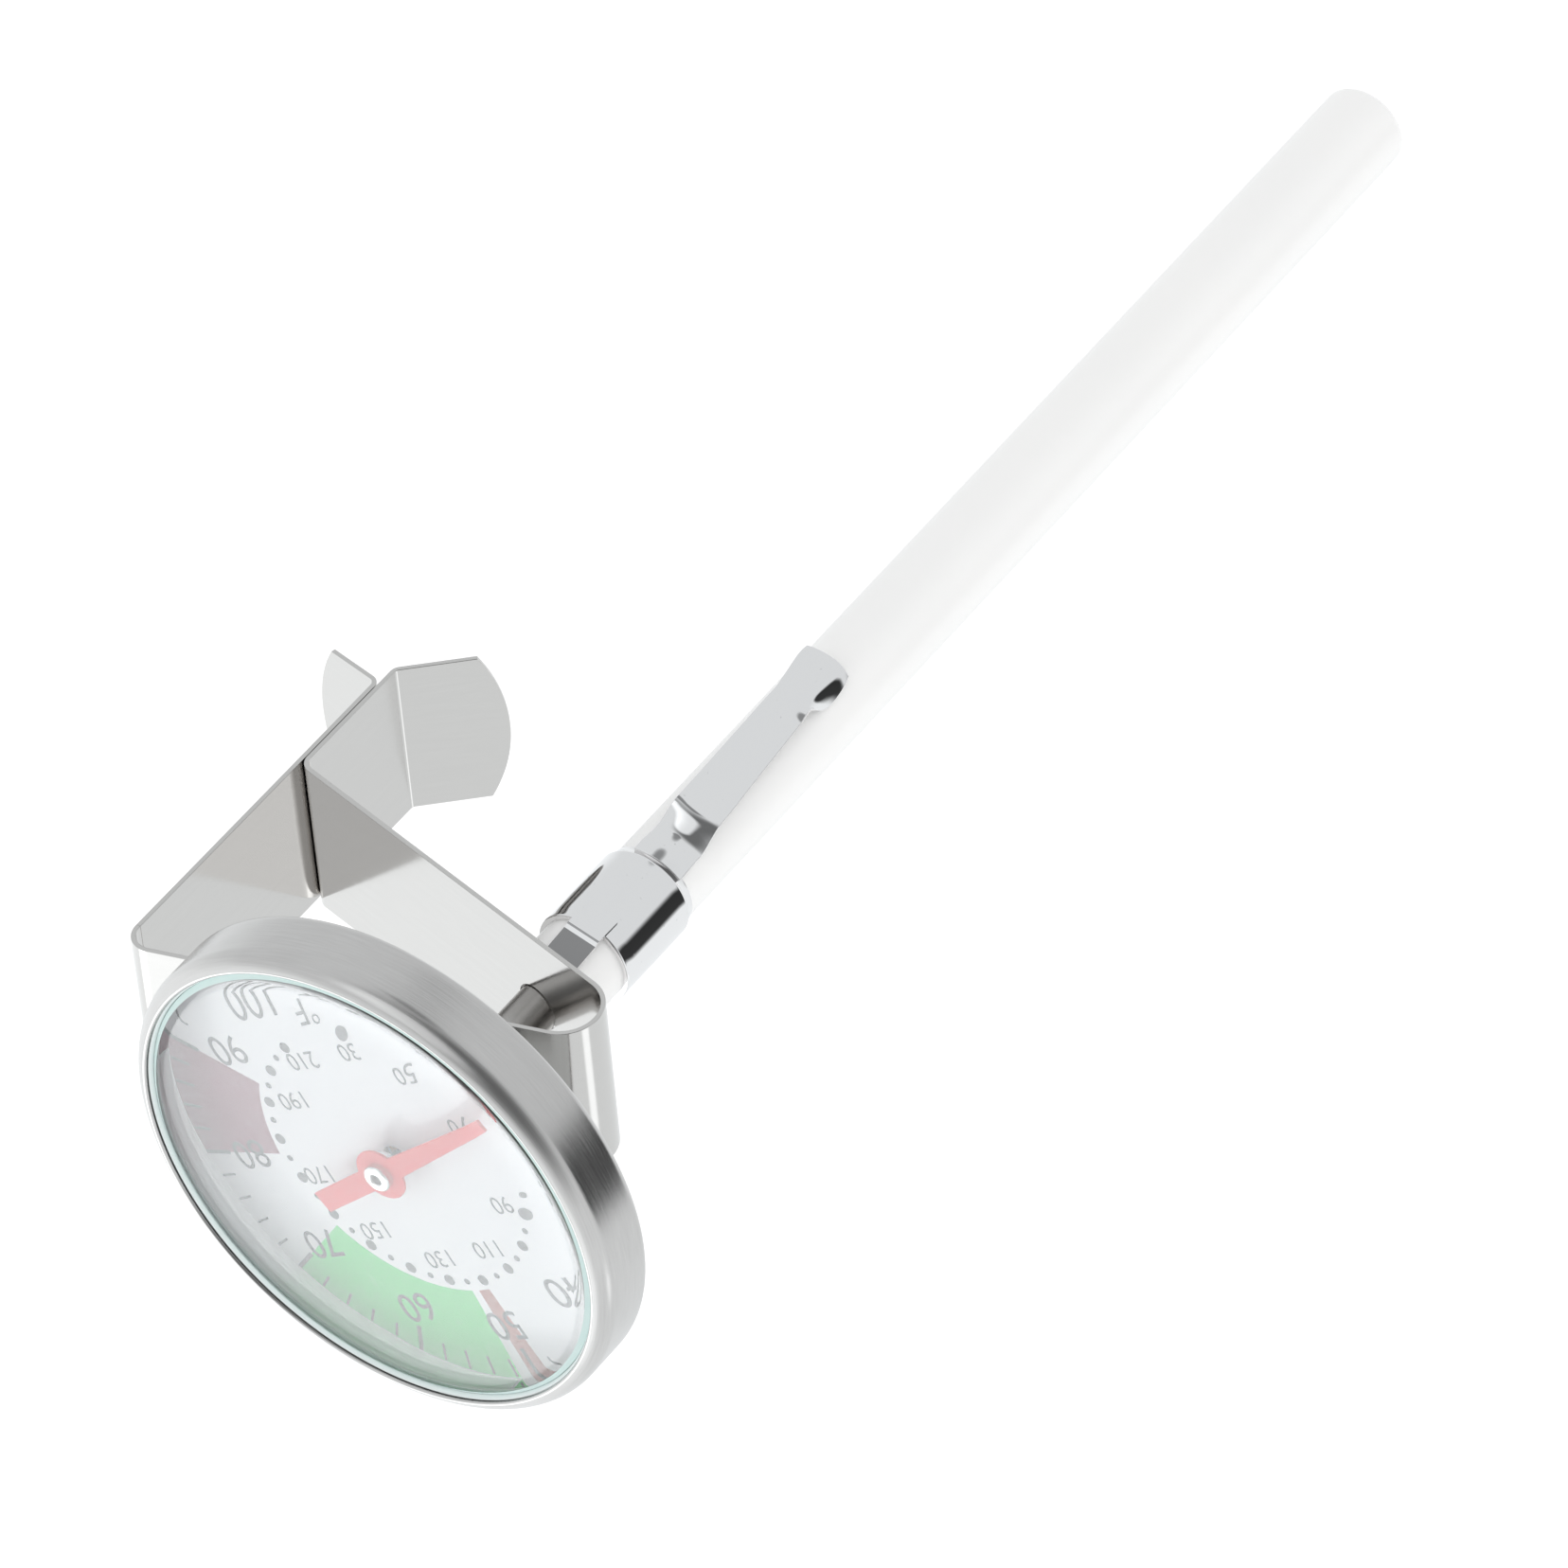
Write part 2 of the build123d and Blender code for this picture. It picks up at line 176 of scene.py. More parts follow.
floor_size, floor_drop = 8.0, 0.26
floor_data = bpy.data.meshes.new("floor")
corners = [(-1, -1), (1, -1), (1, 1), (-1, 1)]
floor_z = CAD_BOX[0][2] - floor_drop
floor_data.from_pydata([(x * floor_size, y * floor_size, floor_z) for x, y in corners], [], [(0, 1, 2, 3)])
floor = bpy.data.objects.new("floor", floor_data)
bpy.context.collection.objects.link(floor)
floor.visible_glossy = False


def paint(name, colour, roughness, metallic=0.0, coat=0.0):
    """A new Principled material with constant values, its node tree's object coordinates and its shader."""
    material = bpy.data.materials.new(name)
    material.use_nodes = True
    tree = material.node_tree
    shader = tree.nodes["Principled BSDF"]
    shader.inputs["Base Color"].default_value = (*colour, 1.0)
    shader.inputs["Roughness"].default_value = roughness
    shader.inputs["Metallic"].default_value = metallic
    shader.inputs["Coat Weight"].default_value = coat
    return material, Wire(tree, tree.nodes.new("ShaderNodeTexCoord").outputs["Object"]), shader


floor_paint, _, _ = paint("floor_paper", (0.93, 0.93, 0.93), roughness=0.9)
floor_data.materials.append(floor_paint)

for lamp, place, size, watts in (
    ("key_light", (0.5, 0.1, 1.2), 0.5, 1.5),
    ("fill_light", (-1.1, 0.3, 0.3), 0.6, 1.6),
    ("floor_light", (0.9, 1.1, 0.5), 1.0, 6.0),
):
    lamp_data = bpy.data.lights.new(lamp, "AREA")
    lamp_data.size = size
    lamp_data.energy = watts
    light = bpy.data.objects.new(lamp, lamp_data)
    aim = Vector(place).to_track_quat("Z", "Y").to_matrix().to_4x4()
    light.matrix_world = Matrix.Translation(place) @ aim
    light.visible_glossy = False
    bpy.context.collection.objects.link(light)

# ------------------------------------------------------------------ head: bezel shell and case back
# A deep-drawn stainless shell, rolled over the crystal in front and over the pressed back behind. It is
# then brushed on a lathe, so that its lines run round and its front edge is a little brighter.
MM = 0.001


def feed(shader, socket, wire):
    """Lets one of a shader's sockets follow a wire."""
    wire.tree.links.new(wire.socket, shader.inputs[socket])


def noise(place, scale, detail=3.0, roughness=0.5):
    """Even-handed noise from 0 to 1 at a place."""
    values = {"Vector": place, "Scale": scale, "Detail": detail, "Roughness": roughness}
    return place.node("ShaderNodeTexNoise", {}, values, "Fac")


def stretch(place, x, y, z):
    """A place scaled by a different amount along each axis, so that a pattern on it is drawn out."""
    return place.node("ShaderNodeVectorMath", {"operation": "MULTIPLY"}, (place, (x, y, z)))


def bumped(shader, height, strength, distance):
    """Raises a shader's surface by a height wire, in metres at a strength of one."""
    values = {"Height": height, "Strength": strength, "Distance": distance}
    feed(shader, "Normal", height.node("ShaderNodeBump", {}, values, "Normal"))


def arc(centre, radius, start, end, steps=10):
    """Points of an arc in a profile: the centre plus the radius at angles from start to end, in degrees."""
    angles = np.radians(np.linspace(start, end, steps))
    return np.stack([centre[0] + radius * np.cos(angles), centre[1] + radius * np.sin(angles)], 1)


def profile(*runs):
    """Points and arcs of a section one after another, as an array of (radius, height) in millimetres."""
    return np.concatenate([np.atleast_2d(np.asarray(run, float)) for run in runs])


def mesh_piece(name, points, faces, body, material, *nodes, slot=None, angle=40.0, uv=None):
    """A piece from a point array and a quad array: doubles merged, faces outwards, smooth up to an angle."""
    data = bpy.data.meshes.new(name)
    data.from_pydata(points.tolist(), [], faces.tolist())
    if uv is not None:
        layer = data.uv_layers.new(name="strip")
        corner_points = np.empty(len(data.loops), int)
        data.loops.foreach_get("vertex_index", corner_points)
        layer.data.foreach_set("uv", uv[corner_points].ravel())
    made = bmesh.new()
    made.from_mesh(data)
    bmesh.ops.remove_doubles(made, verts=made.verts, dist=1e-7)
    bmesh.ops.dissolve_degenerate(made, edges=made.edges, dist=1e-7)
    bmesh.ops.recalc_face_normals(made, faces=made.faces)
    made.to_mesh(data)
    made.free()
    data.shade_smooth()
    data.set_sharp_from_angle(angle=np.radians(angle))
    data.materials.append(material)
    piece = bpy.data.objects.new(name, data)
    bpy.context.collection.objects.link(piece)
    if body:
        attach(piece, body)
    if nodes:
        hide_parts(*nodes)
    return piece


def grid_faces(rows, columns, wrap_rows=False, wrap_columns=False):
    """Quads of a grid of points, stored row by row, that may close on itself either way."""
    i = np.arange(rows if wrap_rows else rows - 1)[:, None]
    j = np.arange(columns if wrap_columns else columns - 1)[None, :]
    k, m = (i + 1) % rows, (j + 1) % columns
    corners = (i * columns + j, k * columns + j, k * columns + m, i * columns + m)
    return np.stack([np.broadcast_to(c, (len(i), j.shape[1])).ravel() for c in corners], 1)


def turned(name, section, body, material, *nodes, steps=192, closed=True, **rest):
    """Turns a section (r, z) about Z: x = r cos t, y = r sin t. A closed section gives a closed ring."""
    t = np.linspace(0, 2 * np.pi, steps, endpoint=False)
    r, z = section[:, 0], section[:, 1]
    heights = np.broadcast_to(z, (steps, len(z)))
    points = np.stack([np.outer(np.cos(t), r), np.outer(np.sin(t), r), heights], 2)
    faces = grid_faces(steps, len(r), wrap_rows=True, wrap_columns=closed)
    return mesh_piece(name, points.reshape(-1, 3) * MM, faces, body, material, *nodes, **rest)


def brushed_around(name, colour, roughness):
    """Steel brushed on a lathe: noise that is fine along the section, z minus r, and drawn out around Z."""
    material, place, shader = paint(name, colour, roughness, metallic=1.0)
    x, y, z = place.parts()
    r = (x * x + y * y) ** 0.5
    section_place = (z - r) * 9000.0
    ring = place.node("ShaderNodeCombineXYZ", {}, (x / r * 5.0, y / r * 5.0, section_place), 0)
    fine = noise(ring, 1.0, 4.0, 0.6)
    broad = noise(stretch(ring, 1.3, 1.3, 0.12), 1.0, 2.0)
    cloud = noise(place, 160.0, 3.0)
    feed(shader, "Roughness", roughness + 0.12 * (fine - 0.5) + 0.05 * (cloud - 0.5))
    tone = (fine * 0.5 + broad * 0.2 + cloud * 0.3).soft(0.25, 0.75)
    darker = tuple(c * 0.88 for c in colour)
    feed(shader, "Base Color", blended(tone, darker, colour))
    bumped(shader, fine * 0.9 + broad * 0.1, 0.3, 0.00003)
    return material


case_low, case_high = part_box("bezel_shell")
case_r = case_high[0] / MM
case_bottom, case_top = case_low[2] / MM, case_high[2] / MM
sheet, edge_r, edge_lift, rear_r = 0.5, 1.6, 0.018, 0.8
lip_r, rear_lip_r = 21.14, 20.8
bead_r, bead_in, bead_drop = 0.2, 0.14, 0.21
side_low, side_high = case_bottom + rear_r, case_top - edge_r + edge_lift
lip_turn = np.degrees(np.arccos((lip_r - case_r + edge_r) / edge_r))
case_steel = brushed_around("case_steel", (0.67, 0.655, 0.645), 0.24)
bezel_section = profile(
    (rear_lip_r, case_bottom + sheet),
    (rear_lip_r, case_bottom + 0.12),
    (rear_lip_r + 0.12, case_bottom),
    arc((case_r - rear_r, side_low), rear_r, -90, 0),
    np.stack([np.full(9, case_r), np.linspace(side_low, side_high, 9)], 1)[1:-1],
    arc((case_r - edge_r, side_high), edge_r, 0, lip_turn - 5, 20),
    arc((lip_r + bead_in, case_top - bead_drop), bead_r, 70, 180, 5),
    arc((case_r - edge_r, side_high), edge_r - sheet, lip_turn - 10, 0, 10),
    arc((case_r - rear_r, side_low), rear_r - sheet, 0, -90, 5),
)
turned("bezel_shell_piece", bezel_section, "head", case_steel, "bezel_shell", slot="stainless_satin")

back_steel = brushed_around("back_steel", (0.62, 0.62, 0.61), 0.3)
back_low, back_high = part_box("case_back")
floor_low, rim_high = back_low[2] / MM, back_high[2] / MM
back_sheet, pan_r, cone, socket_r = 0.35, 17.8, 1.0, 3.3
back_section = profile(
    (socket_r, floor_low),
    np.stack([np.linspace(socket_r + 0.5, pan_r - 1.0, 6), np.full(6, floor_low)], 1),
    arc((pan_r - 0.6, floor_low + 0.9), 0.9, -80, -20, 7),
    (pan_r + cone, rim_high - back_sheet),
    (case_r - rear_r - 0.05, rim_high - back_sheet),
    (case_r - rear_r - 0.05, rim_high),
    (pan_r + cone - back_sheet, rim_high),
    arc((pan_r - 0.6 - back_sheet, floor_low + 0.9), 0.55, -20, -80, 5),
    (socket_r, floor_low + back_sheet),
)
turned("case_back_piece", back_section, "head", back_steel, "case_back", slot="stainless_satin")

# ------------------------------------------------------------------ head: dial plate
# A thin aluminium disc, enamelled white. It is screen-printed with the Celsius ring outside, the Fahrenheit
# ring of dots inside, and three coloured zones.
dial_low, dial_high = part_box("dial_plate")
dial_r, dial_top = dial_high[0] / MM, dial_high[2] / MM
enamel, place, shader = paint("dial_enamel", (0.76, 0.75, 0.77), 0.38, coat=0.2)
feed(shader, "Base Color", blended(noise(place, 60.0), (0.745, 0.735, 0.76), (0.77, 0.76, 0.775)))
bumped(shader, noise(place, 900.0, 2.0), 0.05, 0.00002)
hole_r, broken_edge = 1.2, 0.04
dial_section = profile(
    (hole_r, dial_low[2] / MM), (dial_r, dial_low[2] / MM), (dial_r, dial_top - broken_edge),
    (dial_r - broken_edge, dial_top), (hole_r + broken_edge, dial_top), (hole_r, dial_top - broken_edge),
)
turned("dial_plate_piece", dial_section, "head", enamel, "dial_plate", slot="dial_white")


def ink(name, colour):
    """Printing ink: its own colour, a little thin and uneven where the screen left less of it."""
    material, place, shader = paint(name, colour, 0.45)
    thin = noise(place, 1400.0, 3.0).soft(0.5, 0.8) * 0.12
    feed(shader, "Base Color", blended(thin, colour, (0.9, 0.9, 0.9)))
    feed(shader, "Roughness", 0.38 + 0.2 * noise(place, 2200.0))
    return material


scale_zero, turn_per_degree = 285.6, 3.25


def celsius_angle(degrees):
    """Where a temperature lies on the dial, in radians from +X: the scale runs clockwise from its zero."""
    return np.radians(scale_zero - turn_per_degree * np.asarray(degrees, float))


ink_thickness, ink_gap, over_ink = 0.006, 0.002, 0.006
over_enamel = dial_top + ink_gap
over_zones = over_enamel + ink_thickness + over_ink


def flat_solids(name, outlines, base, material):
    """Many small printed shapes as one piece: each outline is a row of (x, y) points, one ink thick."""
    count, size = outlines.shape[:2]
    top = np.concatenate([outlines, np.full((count, size, 1), base + ink_thickness)], 2)
    bottom = np.concatenate([outlines, np.full((count, size, 1), base)], 2)
    points = np.concatenate([top, bottom], 1).reshape(-1, 3) * MM
    first = np.arange(count)[:, None] * 2 * size
    k = np.arange(size)
    rim = np.stack([k, k + size, (k + 1) % size + size, (k + 1) % size], 1)
    faces = [row.tolist() for row in (first[:, None] + rim[None]).reshape(-1, 4)]
    faces += (first + k[None, ::-1]).tolist() + (first + size + k[None]).tolist()
    data = bpy.data.meshes.new(name)
    data.from_pydata(points.tolist(), [], faces)
    data.validate()
    data.materials.append(material)
    piece = bpy.data.objects.new(name, data)
    bpy.context.collection.objects.link(piece)
    made = bmesh.new()
    made.from_mesh(data)
    bmesh.ops.recalc_face_normals(made, faces=made.faces)
    made.to_mesh(data)
    made.free()
    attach(piece, "head")


def bars(angles, inner, outer, width):
    """Radial bars as outlines: corners at both radii, half a width to each side."""
    a = np.asarray(angles, float)[:, None]
    radius = np.array([inner, outer, outer, inner])[None]
    side = np.array([-1, -1, 1, 1])[None] * width / 2
    return np.stack([radius * np.cos(a) - side * np.sin(a), radius * np.sin(a) + side * np.cos(a)], 2)


def dots(angles, ring_r, radius, steps=20):
    """Round dots as outlines on a ring."""
    a = np.asarray(angles, float)[:, None]
    t = np.linspace(0, 2 * np.pi, steps, endpoint=False)[None]
    return np.stack([ring_r * np.cos(a) + radius * np.cos(t), ring_r * np.sin(a) + radius * np.sin(t)], 2)


def zone(start, end, inner, outer, steps=40):
    """A sector of a ring as one outline, out along the start and back along the end."""
    t = np.linspace(start, end, steps)
    edge = np.stack([np.cos(t), np.sin(t)], 1)
    return np.concatenate([edge * outer, edge[::-1] * inner])[None]


black_ink = ink("black_ink", (0.045, 0.045, 0.055))
maroon_ink = ink("maroon_ink", (0.20, 0.035, 0.08))
green_ink = ink("green_ink", (0.03, 0.62, 0.13))
brown_ink = ink("brown_ink", (0.36, 0.09, 0.07))
zone_inner, zone_outer = 13.1, 21.4
for label, material, low, high in (
    ("zone_80_90", maroon_ink, 80.0, 90.0),
    ("zone_52_70", green_ink, 51.7, 70.0),
    ("zone_50", brown_ink, 48.95, 50.65),
):
    shape = zone(celsius_angle(high), celsius_angle(low), zone_inner, zone_outer)
    flat_solids(label, shape, over_enamel, material)
every_two, every_ten = np.arange(0, 101, 2), np.arange(0, 101, 10)
between_tens = every_two[every_two % 10 > 0]
minor_inner, minor_outer, minor_width = 19.75, 21.3, 0.24
minor_ticks = bars(celsius_angle(between_tens), minor_inner, minor_outer, minor_width)
flat_solids("celsius_minor_ticks", minor_ticks, over_zones, black_ink)
major_inner, major_outer, major_width = 18.8, 21.4, 0.4
major_ticks = bars(celsius_angle(every_ten), major_inner, major_outer, major_width)
flat_solids("celsius_major_ticks", major_ticks, over_zones, black_ink)


def fahrenheit_angle(degrees):
    """Where a Fahrenheit temperature lies on the dial, in radians from +X."""
    return celsius_angle((degrees - 32) / 1.8)


dot_ring = 12.2
for label, marked, radius in (
    ("fahrenheit_end_dots", np.array([30, 90]), 0.60),
    ("fahrenheit_ten_dots", np.arange(100, 211, 10), 0.52),
    ("fahrenheit_five_dots", np.arange(85, 206, 10), 0.30),
):
    flat_solids(label, dots(fahrenheit_angle(marked), dot_ring, radius), over_zones, black_ink)

noon = np.radians(123.1)


def numeral(text, angle, ring_r, size):
    """One number, upright towards noon: the font's outline, made a thin solid, then put in place."""
    curve = bpy.data.curves.new("print_" + text, "FONT")
    curve.body = text
    curve.size = size * MM
    curve.align_x, curve.align_y = "CENTER", "CENTER"
    curve.extrude = ink_thickness / 2 * MM
    maker = bpy.data.objects.new("maker", curve)
    data = bpy.data.meshes.new_from_object(maker)
    bpy.data.objects.remove(maker)
    height = (over_zones + ink_thickness / 2) * MM
    at = Vector((ring_r * np.cos(angle) * MM, ring_r * np.sin(angle) * MM, height))
    data.transform(Matrix.Translation(at) @ Matrix.Rotation(noon - np.pi / 2, 4, "Z"))
    data.materials.append(black_ink)
    return data


def printed(name, meshes):
    """Several numbers joined into one printed piece."""
    made = bmesh.new()
    for mesh in meshes:
        made.from_mesh(mesh)
    bmesh.ops.remove_doubles(made, verts=made.verts, dist=1e-8)
    data = bpy.data.meshes.new(name)
    made.to_mesh(data)
    made.free()
    data.materials.append(black_ink)
    piece = bpy.data.objects.new(name, data)
    bpy.context.collection.objects.link(piece)
    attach(piece, "head")


celsius_size, fahrenheit_size, unit_size = 3.9, 2.35, 2.9
celsius_places = {t: (celsius_angle(t), 16.5) for t in every_ten[1:]}
celsius_places[90] = (np.radians(-14.1), 16.3)
fahrenheit_places = {t: (fahrenheit_angle(t), 10.0) for t in range(90, 171, 20)}
fahrenheit_places.update({
    30: (np.radians(289.3), 10.6), 50: (np.radians(260.0), 10.3), 70: (np.radians(226.5), 9.65),
    190: (np.radians(-8.8), 9.8), 210: (np.radians(-38.5), 10.6),
})
printed("celsius_numerals", [numeral(str(t), *at, celsius_size) for t, at in celsius_places.items()])
fahrenheit_meshes = [numeral(str(t), *at, fahrenheit_size) for t, at in fahrenheit_places.items()]
printed("fahrenheit_numerals", fahrenheit_meshes)
printed("unit_letters", [numeral("°F", np.radians(-58.2), 14.2, unit_size)])

# ------------------------------------------------------------------ head: spacer, crystal and gasket
# A pale moulded ring stands on the dial and carries the crystal on its flange. The crystal is float glass
# with a polished facet, and its edge is ground to a step and a bevel and looks green, as thick glass does.
# The bezel's lip presses it down on a soft gasket, which squeezes up beside the bevel.
spacer_low, spacer_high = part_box("spacer_ring")
spacer_r, flange_r = spacer_high[0] / MM, 20.35
ring_paint, place, shader = paint("spacer_plastic", (0.89, 0.905, 0.905), 0.42)
feed(shader, "Base Color", blended(noise(place, 300.0), (0.87, 0.89, 0.89), (0.905, 0.915, 0.91)))
bumped(shader, noise(place, 1500.0), 0.1, 0.00003)
low, high = spacer_low[2] / MM, spacer_high[2] / MM
spacer_section = profile(
    (spacer_r - 0.45, low), (spacer_r, low), (spacer_r, high - 0.1), (spacer_r - 0.1, high - 0.01),
    (flange_r + 0.05, high - 0.01), (flange_r, high - 0.06), (flange_r, high - 0.35),
    (spacer_r - 0.65, high - 0.4), (spacer_r - 0.45, high - 0.6),
)
turned("spacer_ring_piece", spacer_section, "head", ring_paint, "spacer_ring", slot="spacer_white")

glass, place, shader = paint("crystal_glass", (0.985, 0.995, 0.995), 0.0)
shader.inputs["IOR"].default_value = 1.5
shader.inputs["Transmission Weight"].default_value = 1.0
ground, place, shader = paint("ground_glass_edge", (0.72, 0.87, 0.85), 0.35)
feed(shader, "Base Color", blended(noise(place, 500.0), (0.68, 0.85, 0.83), (0.76, 0.89, 0.87)))
crystal_low, crystal_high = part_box("crystal")
crystal_r, low, high = crystal_high[0] / MM, crystal_low[2] / MM, crystal_high[2] / MM
window_r, window_bevel, flange = 20.3, 0.5, 0.6
facet_r, facet_drop = 19.4, 0.14
window_section = profile(
    (0, low), np.stack([np.linspace(4, window_r + 0.1, 5), np.full(5, low)], 1),
    (window_r + 0.1, high - facet_drop - 0.05), (window_r, high - facet_drop), (facet_r, high),
    np.stack([np.linspace(16, 4, 4), np.full(4, high)], 1), (0, high),
)
turned("crystal_window", window_section, "head", glass, "crystal", slot="crystal_glass",
       closed=False, angle=20.0)
chamfer = 0.08
edge_section = profile(
    (window_r + 0.05, low + 0.01), (crystal_r - chamfer, low), (crystal_r, low + chamfer),
    (crystal_r, low + flange - chamfer), (crystal_r - chamfer, low + flange),
    (window_r + window_bevel, low + flange), (window_r + window_bevel, high - window_bevel),
    (window_r + 0.05, high - facet_drop),
)
turned("crystal_ground_edge", edge_section, "head", ground, "crystal", slot="crystal_glass", angle=20.0)

rubber, place, shader = paint("gasket_rubber", (0.84, 0.88, 0.88), 0.5)
feed(shader, "Roughness", 0.4 + 0.25 * noise(place, 2000.0))
seat, squeeze_r = low + flange, lip_r - 0.02
gasket_section = profile(
    (window_r + window_bevel + 0.05, seat), (squeeze_r + 0.3, seat), (squeeze_r + 0.3, seat + 0.42),
    (squeeze_r, seat + 0.45), (squeeze_r, seat + 0.78), (squeeze_r - 0.1, seat + 0.82),
    (window_r + window_bevel + 0.05, seat + 0.5),
)
turned("crystal_gasket_piece", gasket_section, "head", rubber, "crystal_gasket", slot="gasket_clear")

# ------------------------------------------------------------------ pointer
# Cut from thin sheet, with a short tail behind its middle, and painted gloss red. It is pressed onto a
# turned hub on the end of the shaft, whose tip is coloured near black as painted shade for the hub's bore.
red, place, shader = paint("pointer_paint", (0.80, 0.015, 0.02), 0.45)
flow = noise(place, 500.0).soft(0.3, 0.8)
feed(shader, "Base Color", blended(flow, (0.76, 0.012, 0.018), (0.84, 0.02, 0.03)))
bumped(shader, noise(place, 1200.0), 0.12, 0.00003)
hub_steel = brushed_around("hub_steel", (0.72, 0.72, 0.71), 0.16)
# Near-black steel for the shaft: painted shade for the dark inside the hub's bore and the dial's centre
# hole.
shade_painted_steel, place, shader = paint("shaft_steel_painted_shade", (0.10, 0.10, 0.10), 0.4, metallic=1.0)
feed(shader, "Roughness", 0.3 + 0.3 * noise(place, 3000.0))


def dress(material, *nodes):
    """Gives CAD pieces that keep their own shape a better material."""
    for node in nodes:
        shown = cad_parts[node]
        shown.data.materials.clear()
        shown.data.materials.append(material)


dress(red, "pointer")
dress(shade_painted_steel, "pointer_shaft")
hub_low, hub_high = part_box("pointer_hub")
pointer_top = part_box("pointer")[1][2] / MM
hub_r, bore_r, collar, round_r = 1.2, 0.5, 0.35, 0.22
low, high = hub_low[2] / MM, hub_high[2] / MM
hub_section = profile(
    (bore_r, low), (hub_r + collar, low), (hub_r + collar, pointer_top - 0.2), (hub_r, pointer_top - 0.2),
    (hub_r, pointer_top + 0.02), arc((hub_r - round_r, high - 0.25), round_r, 0, 90, 6),
    (bore_r + 0.1, high), (bore_r, high - 0.1),
)
turned("pointer_hub_piece", hub_section, "pointer", hub_steel, "pointer_hub", slot="stainless_polished",
       steps=96)

# ------------------------------------------------------------------ stem, its nut and what is inside it
# Thin stainless tube, drawn and polished, crimped once over its lower bush and closed by a rounded plug.
# A brass socket, a nut, a washer and a ring hold it in the head. The bimetal coil, its collar and its bushes
# are inside.
tube_steel = brushed_around("tube_steel", (0.60, 0.585, 0.57), 0.31)
small_steel = brushed_around("small_steel", (0.62, 0.62, 0.62), 0.25)
brass, place, shader = paint("turned_brass", (0.72, 0.52, 0.24), 0.3, metallic=1.0)
feed(shader, "Base Color", blended(noise(place, 400.0), (0.66, 0.46, 0.20), (0.76, 0.56, 0.27)))
feed(shader, "Roughness", 0.24 + 0.2 * noise(stretch(place, 60.0, 60.0, 9000.0), 1.0))
bimetal, place, shader = paint("bimetal_strip", (0.50, 0.45, 0.40), 0.42, metallic=1.0)
feed(shader, "Base Color", blended(noise(place, 700.0), (0.46, 0.40, 0.34), (0.56, 0.51, 0.46)))
dress(small_steel, "calibration_nut", "friction_washer", "retaining_ring")
dress(brass, "stem_socket", "upper_bush", "lower_bush", "helix_anchor", "helix_collar")
dress(bimetal, "bimetal_helix")
stem_low, stem_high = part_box("stem_tube")
stem_r, bore_r = stem_high[0] / MM, 1.6
low, high = stem_low[2] / MM, stem_high[2] / MM
groove_z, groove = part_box("lower_bush")[0][2] / MM + 1.2, 0.1
waist_r = stem_r - 0.8 * groove
stem_section = profile(
    (bore_r, low), (stem_r, low), (stem_r, groove_z - 2 * groove), (waist_r, groove_z - 0.3 * groove),
    (waist_r, groove_z + 0.3 * groove), (stem_r, groove_z + 2 * groove), (stem_r, high - 0.1),
    (stem_r - 0.1, high), (bore_r, high),
)
turned("stem_tube_piece", stem_section, "stem", tube_steel, "stem_tube", slot="stainless_polished", steps=96)
plug_low, plug_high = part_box("stem_tip_plug")
plug_section = profile(
    (0, plug_high[2] / MM), (bore_r, plug_high[2] / MM), (bore_r, low), (stem_r, low),
    arc((0, plug_low[2] / MM + stem_r), stem_r, 0, -90, 14),
)
turned("stem_tip_piece", plug_section, "stem", tube_steel, "stem_tip_plug", slot="stainless_polished",
       steps=96, closed=False)

# ------------------------------------------------------------------ jug clip
# One strip of hard stainless, punched for the stem and then bent. The stem passes through both arms of a V,
# an outer leg springs against the inner jaw, and two flared tabs with rounded ends lead the jug's wall in.


def bent_path(corners, radii, turn_step=6.0):
    """Straight runs joined by tangent arcs, as stations of (length along them, x, z). An arc's points are
    its start plus radius * (heading * sin t + side * (1 - cos t))."""
    corners = np.asarray(corners, float)
    heading = np.diff(corners, axis=0)
    heading /= np.linalg.norm(heading, axis=1)[:, None]
    stations = [corners[:1]]
    for k, radius in enumerate(radii):
        before, after = heading[k], heading[k + 1]
        angle = np.arctan2(before[0] * after[1] - before[1] * after[0], before @ after)
        start = corners[k + 1] - before * radius * abs(np.tan(angle / 2))
        side = np.sign(angle) * np.array([-before[1], before[0]])
        t = np.linspace(0, abs(angle), max(3, int(np.degrees(abs(angle)) / turn_step) + 1))[:, None]
        stations.append(start + radius * (before * np.sin(t) + side * (1 - np.cos(t))))
    stations = np.concatenate([*stations, corners[-1:]])
    lengths = np.concatenate([[0], np.cumsum(np.linalg.norm(np.diff(stations, axis=0), axis=1))])
    return np.concatenate([lengths[:, None], stations], 1)


